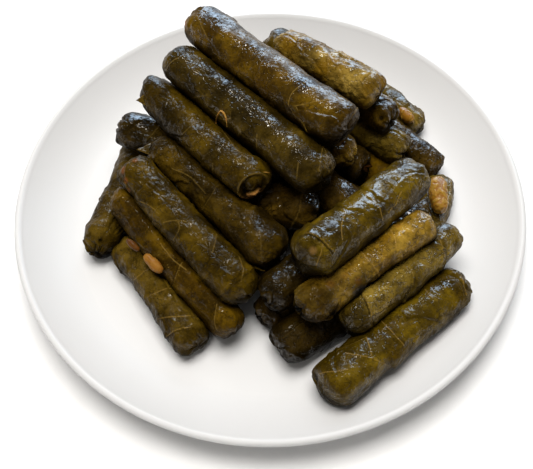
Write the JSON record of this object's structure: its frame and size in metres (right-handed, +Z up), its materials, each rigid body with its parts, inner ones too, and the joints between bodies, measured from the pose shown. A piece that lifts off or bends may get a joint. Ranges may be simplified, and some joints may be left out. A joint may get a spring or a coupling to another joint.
{
  "type": "plate of stuffed vine leaves",
  "caption": "Round white plate heaped with stuffed vine leaf rolls, laid across each other in a pile, served as a starter.",
  "frame": {"origin": "centre of the plate on the surface that it stands on", "axes": "+Z up, the side of the plate nearest the viewer faces -Y, +X to the viewer's right"},
  "size_m": [0.24, 0.2396, 0.0792],
  "materials": {
    "filling": "cooked rice coloured with tomato",
    "leaf_brown": "oily cooked vine leaf, brown olive",
    "leaf_dark": "oily cooked vine leaf, dark olive",
    "leaf_green": "oily cooked vine leaf, green olive",
    "leaf_yellow": "oily cooked vine leaf, yellow olive",
    "porcelain": "white glazed porcelain"
  },
  "bodies": {
    "root": {"filling_back": "filling", "filling_bean": "filling", "filling_scrap": "filling", "filling_torn": "filling", "plate": "porcelain", "roll_back_blunt": "leaf_dark", "roll_back_glossy": "leaf_dark", "roll_back_low": "leaf_green", "roll_back_middle": "leaf_brown", "roll_back_right": "leaf_brown", "roll_back_upper": "leaf_yellow", "roll_base_1": "leaf_dark", "roll_base_2": "leaf_dark", "roll_base_3": "leaf_dark", "roll_base_4": "leaf_dark", "roll_base_5": "leaf_dark", "roll_base_6": "leaf_dark", "roll_base_7": "leaf_dark", "roll_base_8": "leaf_dark", "roll_front": "leaf_green", "roll_front_pleated": "leaf_dark", "roll_front_short": "leaf_dark", "roll_front_under": "leaf_brown", "roll_left_cross": "leaf_brown", "roll_left_dark": "leaf_dark", "roll_left_low": "leaf_green", "roll_middle": "leaf_brown", "roll_open_end": "leaf_green", "roll_right_low": "leaf_green", "roll_right_top": "leaf_green", "roll_right_yellow": "leaf_yellow", "roll_second_1": "leaf_dark", "roll_second_2": "leaf_dark", "roll_second_3": "leaf_dark", "roll_second_4": "leaf_dark", "roll_second_5": "leaf_dark", "roll_slope_dark": "leaf_dark", "roll_slope_green": "leaf_green", "roll_slope_low": "leaf_green", "roll_spiral_end": "leaf_brown", "roll_third_1": "leaf_dark", "roll_top_back": "leaf_green", "roll_top_front": "leaf_dark", "roll_torn": "leaf_brown", "roll_under_top": "leaf_yellow"}
  },
  "joints": []
}
